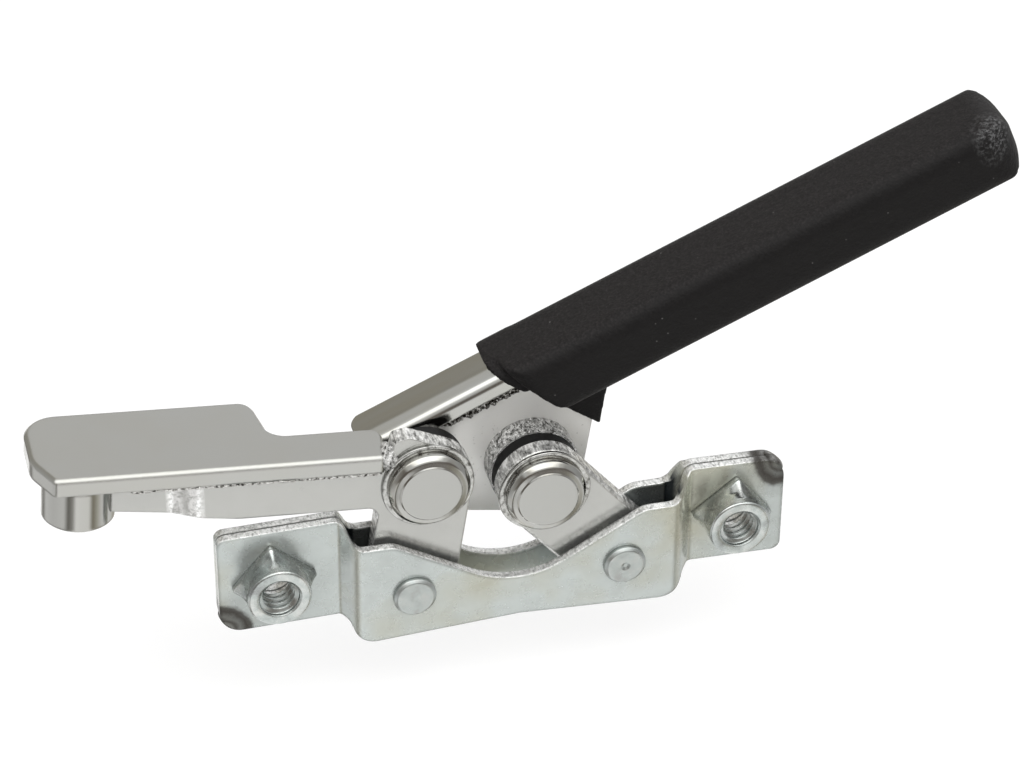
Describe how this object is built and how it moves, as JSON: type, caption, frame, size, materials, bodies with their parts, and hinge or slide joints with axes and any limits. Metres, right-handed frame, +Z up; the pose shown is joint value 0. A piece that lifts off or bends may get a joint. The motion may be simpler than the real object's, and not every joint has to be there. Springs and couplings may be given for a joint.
{
  "type": "t-top latch",
  "caption": "Over-centre hook latch: pressed bracket with weld nuts, hook arm with a flat top plate and locating boss, link and dipped lever.",
  "frame": {"origin": "midway between the axes of the two mounting holes, on the plane where the two bracket plates meet", "axes": "+X along the line of the mounting holes from the hook side to the link side, +Y away from the weld nuts towards the lever side, +Z upwards in the bracket's plane towards the hook arm"},
  "size_m": [0.1607, 0.0241, 0.0775],
  "materials": {
    "zinc": "satin",
    "chrome": "gloss",
    "burnt_weld": "matte",
    "black_washer": "matte",
    "vinyl": "matte"
  },
  "bodies": {
    "bracket": {"front_bracket_plate": "zinc", "rear_bracket_plate": "zinc", "left_weld_nut": "zinc", "right_weld_nut": "zinc", "ear_corner_welds": "burnt_weld", "arm_pivot_rivet": "zinc", "link_pivot_rivet": "zinc", "arm_pivot_washers": "zinc", "link_pivot_washers": "zinc"},
    "arm": {"hook_arm_web": "chrome", "hook_arm_top_plate": "chrome", "locating_boss": "chrome", "arm_seam_weld": "chrome", "arm_end_weld": "chrome", "arm_lever_rivet": "chrome", "arm_lever_front_washer": "chrome", "arm_lever_black_washer": "black_washer", "arm_lever_rear_washer": "chrome"},
    "link": {"link_plate": "chrome", "link_lever_rivet": "chrome", "link_lever_front_washer": "chrome", "link_lever_black_washer": "black_washer", "link_lever_spacer": "chrome", "link_lever_rear_washer": "chrome"},
    "lever": {"lever_side_plate": "chrome", "lever_handle": "chrome", "lever_fillet_weld": "chrome", "vinyl_grip": "vinyl", "arm_lever_spacer": "chrome"}
  },
  "joints": [
    {"name": "arm_pivot", "type": "hinge", "parent": "bracket", "child": "arm", "pos_m": [-0.01575, 0, -0.0055], "axis": [0, -1, 0], "range_deg": [-26.5, 6.47]},
    {"name": "lever_pivot", "type": "hinge", "parent": "arm", "child": "lever", "pos_m": [-0.01284, 0, 0.01423], "axis": [0, -1, 0], "range_deg": [-12, 50]},
    {"name": "link_pivot", "type": "hinge", "parent": "bracket", "child": "link", "pos_m": [0.01935, 0, -0.0055], "axis": [0, -1, 0], "range_deg": [-30.62, 7.46]}
  ],
  "couplings": [
    {"joint": "arm_pivot", "follows": "lever_pivot", "ratio": -0.5271},
    {"joint": "link_pivot", "follows": "lever_pivot", "ratio": -0.6094}
  ]
}
